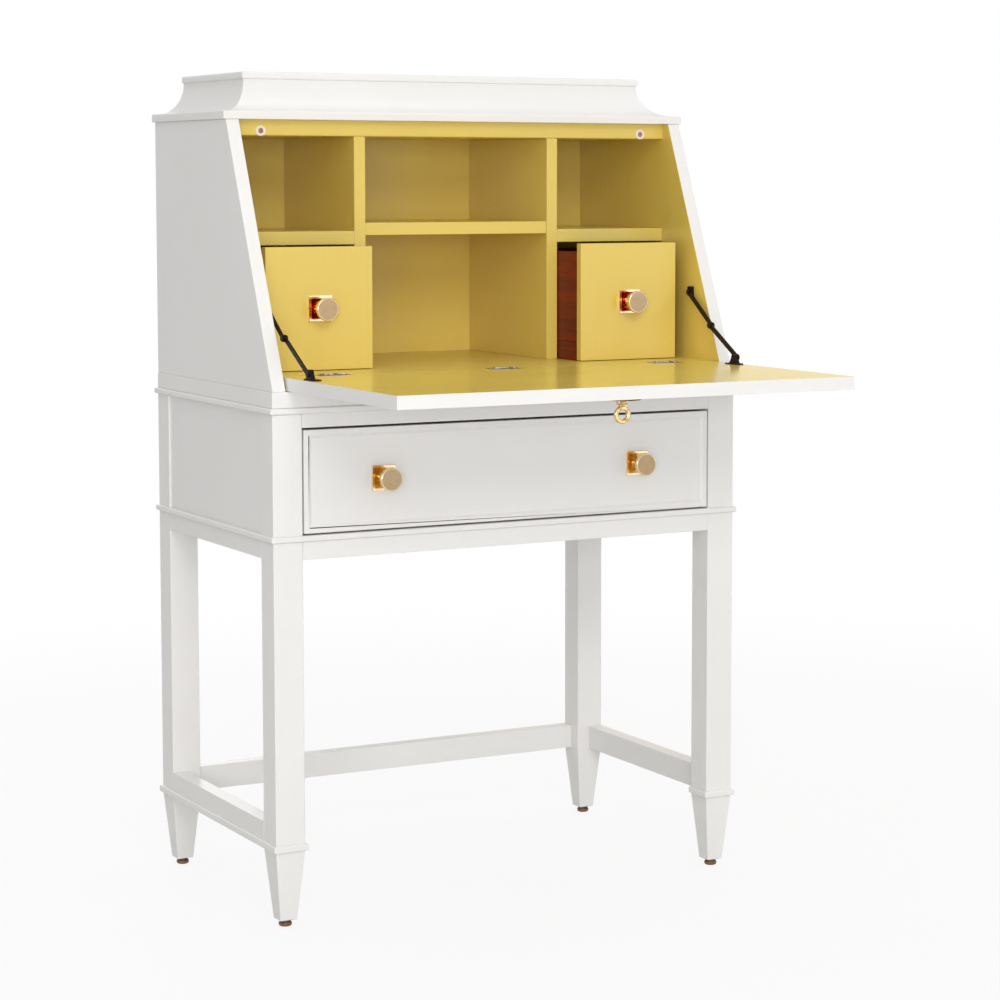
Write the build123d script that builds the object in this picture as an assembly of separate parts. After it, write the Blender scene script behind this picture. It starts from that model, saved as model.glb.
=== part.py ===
from build123d import *
import math
import os

# Slant-front secretary desk: a leg frame with stretchers, a drawer case, and a sloped writing
# cabinet with a drop front, pigeonholes and two small drawers. Millimetres. +X is the desk's
# right as a sitter sees it, the front faces -Y and +Z is up. Every piece is laid out from the
# plane of the front legs' faces, then moved so that the origin is under the middle of the desk
# with its drop front open.

# ---- overall ----
overall_width = 762.0
frame_depth = 448.0
board = 20.0

# ---- leg frame ----
leg_size = 45.0
glide_height = 10.0
glide_radius = 9.5
foot_height = 102.3
foot_tip_size = 25.5
stretcher_height = 37.3
stretcher_thickness = 23.6
foot_moulding_height = 9.7
foot_moulding_projection = 4.1
knee_height = 528.0
apron_height = 34.3

# ---- drawer case ----
waist_moulding_height = 8.6
waist_moulding_projection = 4.2
drawer_opening_height = 152.2
case_rail_height = 20.0
case_panel_thickness = 16.0
case_panel_recess = 3.0
dust_panel_thickness = 12.0
plinth_height = 23.0

# ---- sloped cabinet ----
cabinet_side_inset = 0.9
slope_height = 381.8
slope_depth = 162.0
desk_floor_thickness = 19.4
back_panel_thickness = 8.0
fittings_setback = 178.5
cabinet_top_thickness = 23.2
divider_thickness = 18.2
divider_centre = 162.3
side_shelf_height = 180.3
centre_shelf_height = 193.7
centre_shelf_thickness = 18.6
centre_shelf_setback = 2.0

# ---- cornice ----
cornice_base_height = 12.2
cornice_overhang = 3.7
cornice_ledge = 9.5
cove_height = 47.0
cove_inset = 43.0
cap_height = 10.8
cap_projection = 2.6

# ---- drop front ----
fall_thickness = 18.5
fall_length = 381.0
fall_side_gap = 3.0
hinge_line = 29.0
hinge_joint_gap = 0.8

# ---- butt hinges ----
hinge_spacing = 276.0
hinge_length = 52.0
hinge_leaf_width = 13.0
hinge_leaf_thickness = 1.3
hinge_barrel_length = 38.0
hinge_barrel_radius = 2.3
hinge_pin_radius = 1.1
pin_clearance = 0.06
barrel_clearance = 0.5

# ---- folding stays ----
stay_upper_y = 59.5
stay_upper_z = 102.7
stay_knee_y = -7.6
stay_knee_z = 54.4
stay_lower_y = -84.5
stay_lower_z = 10.0
stay_bar_thickness = 2.5
stay_bar_width = 7.4
stay_eye_radius = 5.2
stay_pin_radius = 2.0
stay_layer_gap = 0.3
stay_plate_thickness = 4.2
stay_foot_thickness = 1.9
stay_stud_head_radius = 3.4
stay_stud_head_length = 1.2
stay_lug_thickness = 6.4

# ---- drawers ----
small_front_thickness = 13.0
small_front_gap = 1.5
small_top_gap = 1.0
stay_slot = 18.7
small_box_depth = 236.0
small_box_drop = 13.0
small_board = 9.0
small_bottom_thickness = 4.0
left_drawer_out = 65.0
right_drawer_out = 72.0
main_front_thickness = 20.0
main_front_gap = 2.2
main_top_gap = 3.2
main_border = 8.0
main_bead_width = 3.4
main_panel_recess = 2.2
main_box_depth = 370.0
main_box_height = 116.0
main_board = 12.0
main_bottom_thickness = 6.0
slide_clearance = 0.4
groove_height = 28.0
groove_size = 1.4

# ---- knobs, ring pull and catches ----
knob_spacing = 210.0
knob_plate_size = 37.2
knob_plate_thickness = 4.0
knob_plate_border = 4.0
knob_plate_step = 1.4
knob_neck_radius = 5.6
knob_neck_length = 20.0
knob_disc_radius = 16.9
knob_disc_thickness = 6.0
pull_inset = 38.4
pull_plate_radius = 26.0
pull_plate_thickness = 3.4
pull_plate_edge = 1.1
pull_ring_reach = 16.5
pull_ring_radius = 12.5
pull_ring_hole = 6.5
pull_ring_thickness = 5.0
pull_neck_width = 9.0
pull_eye_radius = 3.4
pull_eye_length = 10.0
pull_eye_clearance = 0.4
pull_cheek_thickness = 2.4
pull_cheek_radius = 3.0
pull_pin_radius = 1.3
catch_spacing = 319.3
catch_height = 7.2
catch_radius = 7.6
catch_hole_radius = 4.0
catch_depth = 12.0
catch_stand = 0.4

# ---- levels, bottom to top ----
foot_top = glide_height + foot_height
stretcher_top = foot_top + stretcher_height
apron_top = knee_height + apron_height
opening_top = apron_top + drawer_opening_height
case_top = opening_top + case_rail_height
plinth_bottom = case_top + waist_moulding_height
cabinet_bottom = plinth_bottom + plinth_height
desk_level = cabinet_bottom + desk_floor_thickness
cabinet_ceiling = cabinet_bottom + slope_height
cornice_ledge_level = cabinet_ceiling + cornice_base_height
cap_bottom = cornice_ledge_level + cove_height
top_level = cap_bottom + cap_height

# ---- plan positions ----
half_width = overall_width / 2
leg_inner = half_width - leg_size
back_leg_front = frame_depth - leg_size
cabinet_half = half_width - cabinet_side_inset
cabinet_inner = cabinet_half - board
fittings_back = frame_depth - back_panel_thickness
divider_inner = divider_centre - divider_thickness / 2
divider_outer = divider_centre + divider_thickness / 2
fall_half = cabinet_inner - fall_side_gap
fall_free_edge = hinge_line - fall_length
cornice_back = frame_depth + cornice_overhang
back_edge = frame_depth + max(waist_moulding_projection, cornice_overhang)
origin_shift = -(fall_free_edge + back_edge) / 2
slope_angle = math.degrees(math.atan2(slope_depth, slope_height))
fall_travel = 90.0 + slope_angle

os.makedirs("parts", exist_ok=True)


def block(x0, x1, y0, y1, z0, z1):
    return Pos((x0 + x1) / 2, (y0 + y1) / 2, (z0 + z1) / 2) * Box(x1 - x0, y1 - y0, z1 - z0)


def rod(x, y, z, radius, length, axis):
    # a cylinder that starts at the given point and runs along +X, +Y or +Z
    turns = {"X": Rotation(0, 90, 0), "Y": Rotation(-90, 0, 0), "Z": Rotation(0, 0, 0)}
    up = Align.MIN
    body = Cylinder(radius, length, align=(Align.CENTER, Align.CENTER, up))
    return Pos(x, y, z) * turns[axis] * body


def across(x, points, length):
    # a prism whose outline is given in Y and Z, running along +X from x
    plane = Plane(origin=(x, 0, 0), x_dir=(0, 1, 0), z_dir=(1, 0, 0))
    return extrude(plane * make_face(Polyline(*points, close=True)), length, dir=(1, 0, 0))


def mirrored(shape):
    return mirror(shape, about=Plane.YZ)


def joined(shapes):
    # one solid from pieces that share faces or overlap
    whole = shapes[0]
    for extra in shapes[1:]:
        whole = whole + extra
    return whole


def save(name, shapes):
    solids = []
    for shape in shapes:
        solids.extend(shape.solids())
    moved = [Pos(0, origin_shift, 0) * solid for solid in solids]
    piece = moved[0] if len(moved) == 1 else Compound(children=moved)
    piece.label = name
    export_step(piece, "parts/" + name + ".step")


# ================= leg frame =================


def leg(x0, y0):
    middle_x = x0 + leg_size / 2
    middle_y = y0 + leg_size / 2
    tip = Pos(middle_x, middle_y, glide_height) * Rectangle(foot_tip_size, foot_tip_size)
    shoulder = Pos(middle_x, middle_y, foot_top) * Rectangle(leg_size, leg_size)
    foot = loft([tip, shoulder])
    post = block(x0, x0 + leg_size, y0, y0 + leg_size, foot_top, case_top)
    return foot + post


leg_corners = {
    "leg_front_left": (-half_width, 0.0),
    "leg_front_right": (leg_inner, 0.0),
    "leg_back_left": (-half_width, back_leg_front),
    "leg_back_right": (leg_inner, back_leg_front),
}
for leg_name, (leg_x, leg_y) in leg_corners.items():
    save(leg_name, [leg(leg_x, leg_y)])


def glide(x, y):
    # a nail-on glide: metal cap above, rounded pad below
    cap = rod(x, y, glide_height * 0.5, glide_radius * 0.86, glide_height * 0.5, "Z")
    pad = rod(x, y, 0.0, glide_radius, glide_height * 0.5, "Z")
    pad = fillet(pad.edges().sort_by(Axis.Z)[0], glide_height * 0.3)
    return cap + pad


glides = []
for leg_x, leg_y in leg_corners.values():
    glides.append(glide(leg_x + leg_size / 2, leg_y + leg_size / 2))
save("foot_glides", glides)

side_stretcher = block(
    half_width - stretcher_thickness, half_width, leg_size, back_leg_front, foot_top, stretcher_top
)
rear_stretcher = block(
    -leg_inner, leg_inner, frame_depth - stretcher_thickness, frame_depth, foot_top, stretcher_top
)
save("side_stretcher_right", [side_stretcher])
save("side_stretcher_left", [mirrored(side_stretcher)])
save("rear_stretcher", [rear_stretcher])


def foot_moulding_right():
    # a chamfered strip round the front leg, along the stretcher and round the back leg
    reach = foot_moulding_projection
    top = foot_top + foot_moulding_height
    strip = block(leg_inner - reach, half_width + reach, -reach, frame_depth + reach, foot_top, top)
    strip = chamfer(strip.faces().sort_by(Axis.Z)[-1].edges(), reach * 0.45)
    over = foot_moulding_height + 1.0
    strip -= block(leg_inner, half_width, 0.0, frame_depth, foot_top - 1.0, foot_top + over)
    strip -= block(
        leg_inner - reach - 1.0,
        leg_inner,
        leg_size,
        frame_depth + reach + 1.0,
        foot_top - 1.0,
        foot_top + over,
    )
    return strip


save("foot_mouldings", [foot_moulding_right(), mirrored(foot_moulding_right())])

# ================= aprons and drawer case =================

apron_front = block(-leg_inner, leg_inner, 0.0, board, knee_height, apron_top)
apron_side = block(half_width - board, half_width, leg_size, back_leg_front, knee_height, apron_top)
save("apron_front", [apron_front])
save("apron_right", [apron_side])
save("apron_left", [mirrored(apron_side)])

panel_outer = half_width - case_panel_recess
case_side = block(
    panel_outer - case_panel_thickness, panel_outer, leg_size, back_leg_front, apron_top, case_top
)
save("case_side_right", [case_side])
save("case_side_left", [mirrored(case_side)])

case_back = block(
    -leg_inner,
    leg_inner,
    frame_depth - case_panel_recess - case_panel_thickness,
    frame_depth - case_panel_recess,
    knee_height,
    case_top,
)
save("case_back", [case_back])

case_front_rail = block(-leg_inner, leg_inner, 0.0, board, opening_top, case_top)
save("case_front_rail", [case_front_rail])

dust_bottom = apron_top - dust_panel_thickness
dust_back = frame_depth - case_panel_recess - case_panel_thickness
dust_panel = block(-leg_inner, leg_inner, board, dust_back, dust_bottom, apron_top)
dust_panel += block(
    -(half_width - board), half_width - board, leg_size, back_leg_front, dust_bottom, apron_top
)
save("drawer_dust_panel", [dust_panel])


def waist_board(bottom):
    # a board that stands out all round, with a rounded nose
    reach = waist_moulding_projection
    top = bottom + waist_moulding_height
    whole = block(
        -half_width - reach, half_width + reach, -reach, frame_depth + reach, bottom, top
    )
    noses = whole.faces().sort_by(Axis.Z)[-1].edges() + whole.faces().sort_by(Axis.Z)[0].edges()
    return fillet(noses, waist_moulding_height * 0.28)


lower_moulding = waist_board(apron_top - waist_moulding_height)
lower_moulding -= block(
    -half_width, half_width, 0.0, frame_depth, knee_height, apron_top + waist_moulding_height
)
save("waist_moulding_lower", [lower_moulding])
save("waist_moulding_upper", [waist_board(case_top)])

plinth = block(-half_width, half_width, 0.0, frame_depth, plinth_bottom, cabinet_bottom)
save("plinth", [plinth])

# ================= sloped cabinet =================

side_outline = [
    (0.0, cabinet_bottom),
    (frame_depth, cabinet_bottom),
    (frame_depth, cabinet_ceiling),
    (slope_depth, cabinet_ceiling),
]
cabinet_side = across(cabinet_inner, side_outline, board)
save("cabinet_side_right", [cabinet_side])
save("cabinet_side_left", [mirrored(cabinet_side)])

cabinet_back = block(
    -cabinet_inner, cabinet_inner, fittings_back, frame_depth, cabinet_bottom, cabinet_ceiling
)
save("cabinet_back", [cabinet_back])

top_board_bottom = cabinet_ceiling - cabinet_top_thickness
cabinet_top = block(
    -cabinet_inner,
    cabinet_inner,
    fittings_setback,
    fittings_back,
    top_board_bottom,
    cabinet_ceiling,
)
top_front_edges = cabinet_top.faces().sort_by(Axis.Y)[0].edges().sort_by(Axis.Z)
cabinet_top = fillet(top_front_edges[0], 2.4)
catch_level = top_board_bottom + catch_height
catch_front = fittings_setback - catch_stand
for side in (-1, 1):
    cabinet_top -= rod(
        side * catch_spacing, catch_front, catch_level, catch_radius, catch_depth + catch_stand, "Y"
    )
save("cabinet_top", [cabinet_top])

divider = block(
    divider_inner, divider_outer, fittings_setback, fittings_back, desk_level, top_board_bottom
)
save("divider_right", [divider])
save("divider_left", [mirrored(divider)])

side_shelf_bottom = desk_level + side_shelf_height
side_shelf = block(
    divider_outer,
    cabinet_inner,
    fittings_setback,
    fittings_back,
    side_shelf_bottom,
    side_shelf_bottom + board,
)
save("shelf_right", [side_shelf])
save("shelf_left", [mirrored(side_shelf)])

centre_shelf_bottom = desk_level + centre_shelf_height
centre_shelf = block(
    -divider_inner,
    divider_inner,
    fittings_setback + centre_shelf_setback,
    fittings_back,
    centre_shelf_bottom,
    centre_shelf_bottom + centre_shelf_thickness,
)
save("shelf_centre", [centre_shelf])

guide_inner = cabinet_inner - stay_slot + small_front_gap
guide_start = fittings_setback + 30.0
small_guide = block(
    guide_inner, cabinet_inner, guide_start, fittings_back, desk_level, desk_level + board
)
save("small_drawer_guides", [small_guide, mirrored(small_guide)])

# ================= cornice =================

cornice_half = cabinet_half + cornice_overhang
cornice_front = slope_depth - cornice_overhang * 0.3
cornice_base = block(
    -cornice_half, cornice_half, cornice_front, cornice_back, cabinet_ceiling, cornice_ledge_level
)
base_edges = cornice_base.faces().sort_by(Axis.Z)[-1].edges().sort_by(Axis.Y)
cornice_base = fillet(base_edges[0:3], cornice_base_height * 0.22)
save("cornice_base", [cornice_base])


def hollow(outer, side):
    # quarter ellipse from the ledge, where it lies flat, up to the cap, where it stands upright
    start = 180 if side > 0 else 270
    middle = (side * outer, cap_bottom)
    return EllipticalCenterArc(middle, cove_inset, cove_height, start, arc_size=90)


def crown():
    # hollow on both ends and the front, plain at the back, with mitred corners
    half = cornice_half - cornice_ledge
    front = cornice_front + cornice_ledge
    ends_plane = Plane(origin=(0, cornice_back, 0), x_dir=(1, 0, 0), z_dir=(0, -1, 0))
    foot_line = Line((-half, cornice_ledge_level), (half, cornice_ledge_level))
    head_line = Line((half - cove_inset, cap_bottom), (cove_inset - half, cap_bottom))
    ends_face = make_face([foot_line, hollow(half, 1), head_line, hollow(half, -1)])
    ends = extrude(ends_plane * ends_face, cornice_back - front, dir=(0, -1, 0))
    spare = cove_height
    trim_plane = Plane(origin=(-half - spare, 0, 0), x_dir=(0, 1, 0), z_dir=(1, 0, 0))
    low = cornice_ledge_level - spare
    high = cap_bottom + spare
    corners = [
        (front + cove_inset, cap_bottom),
        (front + cove_inset, high),
        (front - spare, high),
        (front - spare, low),
        (front, low),
        (front, cornice_ledge_level),
    ]
    trim_face = make_face([Polyline(*corners), hollow(-front, -1)])
    return ends - extrude(trim_plane * trim_face, 2 * (half + spare), dir=(1, 0, 0))


cap_half = cornice_half - cornice_ledge - cove_inset + cap_projection
cap_front = cornice_front + cornice_ledge + cove_inset - cap_projection
cap = block(-cap_half, cap_half, cap_front, cornice_back, cap_bottom, top_level)
cap_noses = cap.faces().sort_by(Axis.Z)[-1].edges().sort_by(Axis.Y)[0:3]
cap_noses += cap.faces().sort_by(Axis.Z)[0].edges().sort_by(Axis.Y)[0:3]
cap = fillet(cap_noses, cap_height * 0.3)
save("cornice_crown", [crown() + cap])

# ================= drop front and its hinges =================

joint_half = hinge_joint_gap / 2
fall_bottom = desk_level - fall_thickness
barrel_start = hinge_barrel_length / 2
knuckle = hinge_barrel_length / 3
hinge_places = [-hinge_spacing, 0.0, hinge_spacing]
relief_radius = hinge_barrel_radius + barrel_clearance
leaf_bottom = desk_level - hinge_leaf_thickness
leaf_start = relief_radius + 0.2


def barrel_relief(x):
    return rod(
        x - barrel_start - 0.5, hinge_line, desk_level, relief_radius, hinge_barrel_length + 1.0, "X"
    )


def leaf(x, toward_back):
    # a flush leaf on one side of the joint; +1 is the desk floor's side, -1 the drop front's
    near = hinge_line + toward_back * leaf_start
    far = hinge_line + toward_back * hinge_leaf_width
    low, high = min(near, far), max(near, far)
    return block(x - hinge_length / 2, x + hinge_length / 2, low, high, leaf_bottom, desk_level)


def knuckles(x, toward_back, spans):
    # barrel pieces with the web that joins each to its leaf
    pieces = []
    for start, length in spans:
        tube = rod(x + start, hinge_line, desk_level, hinge_barrel_radius, length, "X")
        near = hinge_line
        far = hinge_line + toward_back * (leaf_start + 1.0)
        low, high = min(near, far), max(near, far)
        web = block(x + start, x + start + length, low, high, leaf_bottom, desk_level)
        pieces.append(tube + web)
    hole = pin_bore(x)
    return [piece - hole for piece in pieces]


def pin_bore(x):
    bore = hinge_pin_radius + pin_clearance
    return rod(x - barrel_start - 1.0, hinge_line, desk_level, bore, hinge_barrel_length + 2.0, "X")


slack = 0.15
outer_spans = [
    (-barrel_start, knuckle - slack),
    (barrel_start - knuckle + slack, knuckle - slack),
]
inner_spans = [(-knuckle / 2 + slack, knuckle - 2 * slack)]
fixed_leaves = []
moving_leaves = []
hinge_pins = []
for place in hinge_places:
    fixed_leaves.append(joined([leaf(place, 1)] + knuckles(place, 1, outer_spans)))
    moving_leaves.append(joined([leaf(place, -1)] + knuckles(place, -1, inner_spans)))
    hinge_pins.append(
        rod(
            place - barrel_start,
            hinge_line,
            desk_level,
            hinge_pin_radius,
            hinge_barrel_length,
            "X",
        )
    )
save("hinge_fixed_leaves", fixed_leaves + hinge_pins)
save("hinge_moving_leaves", moving_leaves)

desk_floor = block(
    -cabinet_inner,
    cabinet_inner,
    hinge_line + joint_half,
    fittings_back,
    cabinet_bottom,
    desk_level,
)
fall_panel = block(
    -fall_half, fall_half, fall_free_edge, hinge_line - joint_half, fall_bottom, desk_level
)
for place in hinge_places:
    desk_floor -= barrel_relief(place)
    fall_panel -= barrel_relief(place)
    desk_floor -= block(
        place - hinge_length / 2,
        place + hinge_length / 2,
        hinge_line,
        hinge_line + hinge_leaf_width,
        leaf_bottom,
        desk_level + 1.0,
    )
    fall_panel -= block(
        place - hinge_length / 2,
        place + hinge_length / 2,
        hinge_line - hinge_leaf_width,
        hinge_line,
        leaf_bottom,
        desk_level + 1.0,
    )
save("desk_floor", [desk_floor])
save("fall_panel", [fall_panel])

# ================= folding stays (right side, mirrored for the left) =================

upper_pivot = (hinge_line + stay_upper_y, desk_level + stay_upper_z)
knee = (hinge_line + stay_knee_y, desk_level + stay_knee_z)
lower_pivot = (hinge_line + stay_lower_y, desk_level + stay_lower_z)
bracket_face = cabinet_inner - stay_plate_thickness
upper_bar_x = bracket_face - stay_layer_gap - stay_bar_thickness
lower_bar_x = upper_bar_x - stay_layer_gap - stay_bar_thickness
lug_x = lower_bar_x - stay_layer_gap - stay_lug_thickness
eye_bore = stay_pin_radius + pin_clearance




def bar(x, start, end):
    # a flat bar with round eyes, in the YZ plane at x
    run = math.dist(start, end)
    lean = math.degrees(math.atan2(end[1] - start[1], end[0] - start[0]))
    plane = Plane(origin=(x, 0, 0), x_dir=(0, 1, 0), z_dir=(1, 0, 0))
    middle = Pos((start[0] + end[0]) / 2, (start[1] + end[1]) / 2)
    shank = middle * Rot(0, 0, lean) * SlotCenterToCenter(run, stay_bar_width)
    eyes = Pos(*start) * Circle(stay_eye_radius) + Pos(*end) * Circle(stay_eye_radius)
    return extrude(plane * (shank + eyes), stay_bar_thickness, dir=(1, 0, 0))


def stay_upper_arm():
    arm = bar(upper_bar_x, upper_pivot, knee)
    arm -= rod(upper_bar_x - 1.0, *upper_pivot, eye_bore, stay_bar_thickness + 2.0, "X")
    head = rod(
        upper_bar_x + stay_bar_thickness, *knee, stay_eye_radius * 0.85, stay_bar_thickness * 0.7, "X"
    )
    return arm + head


def stay_lower_arm():
    arm = bar(lower_bar_x, knee, lower_pivot)
    arm -= rod(lower_bar_x - 1.0, *lower_pivot, eye_bore, stay_bar_thickness + 2.0, "X")
    head_length = stay_bar_thickness * 0.7
    head = rod(lower_bar_x - head_length, *knee, stay_eye_radius * 0.85, head_length, "X")
    return arm + head


def stay_cabinet_bracket():
    # a screwed block on the cabinet side with the stud that the upper arm turns on
    y, z = upper_pivot
    plate = block(bracket_face, cabinet_inner, y - 6.5, y + 6.5, z - 6.0, z + 9.0)
    plate = fillet(plate.edges().filter_by(Axis.X), 2.0)
    stud_length = stay_bar_thickness + 2 * stay_layer_gap
    stud = rod(bracket_face - stud_length, y, z, stay_pin_radius, stud_length, "X")
    head_start = bracket_face - stud_length - stay_stud_head_length
    head = rod(head_start, y, z, stay_stud_head_radius, stay_stud_head_length, "X")
    return joined([plate, stud, head])


def stay_fall_bracket():
    # a foot plate on the drop front with a stout upright lug and its stud
    y, z = lower_pivot
    low = desk_level + stay_foot_thickness
    inner_x = lug_x - 6.0
    outer_x = lug_x + stay_lug_thickness + 2.0
    foot = block(inner_x, outer_x, y - 18.0, y + 14.0, desk_level, low)
    foot = fillet(foot.edges().filter_by(Axis.Z), 2.5)
    plane = Plane(origin=(lug_x, 0, 0), x_dir=(0, 1, 0), z_dir=(1, 0, 0))
    outline = [(y - 11.5, desk_level), (y + 11.5, desk_level), (y + 4.6, z), (y - 4.6, z)]
    upright = make_face(Polyline(*outline, close=True)) + Pos(y, z) * Circle(stay_eye_radius)
    lug = extrude(plane * upright, stay_lug_thickness, dir=(1, 0, 0))
    stud_length = stay_layer_gap + stay_bar_thickness
    stud = rod(lug_x + stay_lug_thickness, y, z, stay_pin_radius, stud_length, "X")
    return joined([foot, lug, stud])


save("stay_cabinet_brackets", [stay_cabinet_bracket(), mirrored(stay_cabinet_bracket())])
save("stay_fall_brackets", [stay_fall_bracket(), mirrored(stay_fall_bracket())])
save("stay_upper_arm_right", [stay_upper_arm()])
save("stay_upper_arm_left", [mirrored(stay_upper_arm())])
save("stay_lower_arm_right", [stay_lower_arm()])
save("stay_lower_arm_left", [mirrored(stay_lower_arm())])

# ================= ring pull under the drop front =================

pull_y = fall_free_edge + pull_inset
pull_plate_bottom = fall_bottom - pull_plate_thickness
pull_pivot = pull_plate_bottom - pull_eye_clearance - pull_eye_radius
pull_plate = rod(0.0, pull_y, pull_plate_bottom, pull_plate_radius, pull_plate_thickness, "Z")
pull_plate = fillet(pull_plate.faces().sort_by(Axis.Z)[0].edges(), pull_plate_edge)
cheek_x = pull_eye_length / 2 + 0.2
cheek_parts = [pull_plate]
for side in (-1, 1):
    start = cheek_x if side > 0 else -cheek_x - pull_cheek_thickness
    cheek_parts.append(
        rod(start, pull_y, pull_pivot, pull_cheek_radius, pull_cheek_thickness, "X")
    )
    cheek_parts.append(
        block(
            start,
            start + pull_cheek_thickness,
            pull_y - pull_cheek_radius,
            pull_y + pull_cheek_radius,
            pull_pivot,
            pull_plate_bottom,
        )
    )
pull_pin_length = 2 * (cheek_x + pull_cheek_thickness)
cheek_parts.append(
    rod(-pull_pin_length / 2, pull_y, pull_pivot, pull_pin_radius, pull_pin_length, "X")
)
save("ring_pull_plate", [joined(cheek_parts)])

ring_middle = pull_pivot - pull_ring_reach
ring_start = pull_y - pull_ring_thickness / 2
ring = rod(0.0, ring_start, ring_middle, pull_ring_radius, pull_ring_thickness, "Y")
ring -= rod(0.0, ring_start - 1.0, ring_middle, pull_ring_hole, pull_ring_thickness + 2.0, "Y")
ring = fillet(ring.edges().filter_by(GeomType.CIRCLE), pull_ring_thickness * 0.3)
neck_half = pull_neck_width / 2
neck_thick = pull_ring_thickness * 0.42
neck_foot = ring_middle + (pull_ring_radius + pull_ring_hole) / 2
ring += block(
    -neck_half, neck_half, pull_y - neck_thick, pull_y + neck_thick, neck_foot, pull_pivot
)
eye_start = -pull_eye_length / 2
ring += rod(eye_start, pull_y, pull_pivot, pull_eye_radius, pull_eye_length, "X")
ring -= rod(
    eye_start - 1.0,
    pull_y,
    pull_pivot,
    pull_pin_radius + pin_clearance,
    pull_eye_length + 2.0,
    "X",
)
save("ring_pull_ring", [ring])

# ================= catches in the cabinet top =================

catches = []
for side in (-1, 1):
    place = side * catch_spacing
    length = catch_depth + catch_stand
    housing = rod(place, catch_front, catch_level, catch_radius, length, "Y")
    housing -= rod(place, catch_front - 1.0, catch_level, catch_hole_radius, length + 2.0, "Y")
    magnet = rod(place, catch_front + 1.6, catch_level, catch_hole_radius, length - 1.6, "Y")
    catches += [housing, magnet]
save("fall_catches", catches)

# ================= knobs =================


def knob_plate(x, y, z):
    # a square backplate with a raised border, its back on the plane at y
    half = knob_plate_size / 2
    plate = block(x - half, x + half, y - knob_plate_thickness, y, z - half, z + half)
    plate = chamfer(plate.faces().sort_by(Axis.Y)[0].edges(), 0.8)
    inner = half - knob_plate_border
    front = y - knob_plate_thickness
    plate -= block(
        x - inner, x + inner, front - 1.0, front + knob_plate_step, z - inner, z + inner
    )
    return plate


def knob(x, y, z):
    # a neck that stands on the recessed plate, and a flat disc on its end
    seat = y - knob_plate_thickness + knob_plate_step
    neck_length = knob_neck_length + knob_plate_step
    neck = rod(x, seat - neck_length, z, knob_neck_radius, neck_length, "Y")
    collar = rod(x, seat - 2.0, z, knob_neck_radius * 1.45, 2.0, "Y")
    disc_back = seat - neck_length
    disc = rod(x, disc_back - knob_disc_thickness, z, knob_disc_radius, knob_disc_thickness, "Y")
    disc = chamfer(disc.edges().filter_by(GeomType.CIRCLE), 0.7)
    return joined([neck, collar, disc])


# ================= small drawers =================

small_x0 = divider_outer + small_front_gap
small_x1 = cabinet_inner - stay_slot
small_bottom = desk_level + slide_clearance
small_front_bottom = desk_level + 2 * slide_clearance
small_front_top = side_shelf_bottom - small_top_gap
small_box_top = small_front_top - small_box_drop
small_middle = (small_x0 + small_x1) / 2
small_knob_level = (small_front_bottom + small_front_top) / 2


def groove(x0, x1, y0, y1):
    low = desk_level + groove_height
    return block(x0, x1, y0, y1, low, low + groove_size)


def small_drawer(prefix, flip, out):
    # the drawer on the right side, drawn out by the given distance; flip mirrors it
    front = fittings_setback - out
    rear_of_front = front + small_front_thickness
    rear = rear_of_front + small_box_depth
    side = block(small_x0, small_x0 + small_board, rear_of_front, rear, small_bottom, small_box_top)
    side -= groove(small_x0 - 1.0, small_x0 + groove_size, rear_of_front, rear)
    far_side = block(
        small_x1 - small_board, small_x1, rear_of_front, rear, small_bottom, small_box_top
    )
    far_side -= groove(small_x1 - groove_size, small_x1 + 1.0, rear_of_front, rear)
    inner0 = small_x0 + small_board
    inner1 = small_x1 - small_board
    back = block(inner0, inner1, rear - small_board, rear, small_bottom, small_box_top)
    floor_low = small_bottom + small_board
    floor = block(
        inner0,
        inner1,
        rear_of_front,
        rear - small_board,
        floor_low,
        floor_low + small_bottom_thickness,
    )
    face = block(
        small_x0, small_x1, front, rear_of_front, small_front_bottom, small_front_top
    )
    pieces = {
        "_drawer_front": [face],
        "_drawer_box": [side, far_side, back],
        "_drawer_bottom": [floor],
        "_drawer_knob_plate": [knob_plate(small_middle, front, small_knob_level)],
        "_drawer_knob": [knob(small_middle, front, small_knob_level)],
    }
    for suffix, shapes in pieces.items():
        if flip:
            shapes = [mirrored(shape) for shape in shapes]
        save(prefix + suffix, shapes)


small_drawer("left", True, left_drawer_out)
small_drawer("right", False, right_drawer_out)

# ================= main drawer =================

main_half = leg_inner - main_front_gap
main_front_bottom = apron_top + main_front_gap
main_front_top = opening_top - main_top_gap
main_middle = (main_front_bottom + main_front_top) / 2
face = block(-main_half, main_half, 0.0, main_front_thickness, main_front_bottom, main_front_top)
outer_w = 2 * (main_half - main_border)
outer_h = main_front_top - main_front_bottom - 2 * main_border
inner_w = outer_w - 2 * main_bead_width
inner_h = outer_h - 2 * main_bead_width
mouth = Plane(origin=(0, 0, main_middle), x_dir=(1, 0, 0), z_dir=(0, -1, 0))
seat = Plane(origin=(0, main_panel_recess, main_middle), x_dir=(1, 0, 0), z_dir=(0, -1, 0))
face -= loft([mouth * Rectangle(outer_w, outer_h), seat * Rectangle(inner_w, inner_h)])
save("main_drawer_front", [face])

main_box_bottom = apron_top + slide_clearance
main_box_top = main_box_bottom + main_box_height
main_rear = main_front_thickness + main_box_depth
main_box_half = leg_inner - 4.0
main_inner = main_box_half - main_board
main_side = block(
    main_inner, main_box_half, main_front_thickness, main_rear, main_box_bottom, main_box_top
)
main_back = block(
    -main_inner, main_inner, main_rear - main_board, main_rear, main_box_bottom, main_box_top
)
main_floor = block(
    -main_inner,
    main_inner,
    main_front_thickness,
    main_rear - main_board,
    main_box_bottom + main_board,
    main_box_bottom + main_board + main_bottom_thickness,
)
save("main_drawer_box", [main_side, mirrored(main_side), main_back])
save("main_drawer_bottom", [main_floor])

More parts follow.
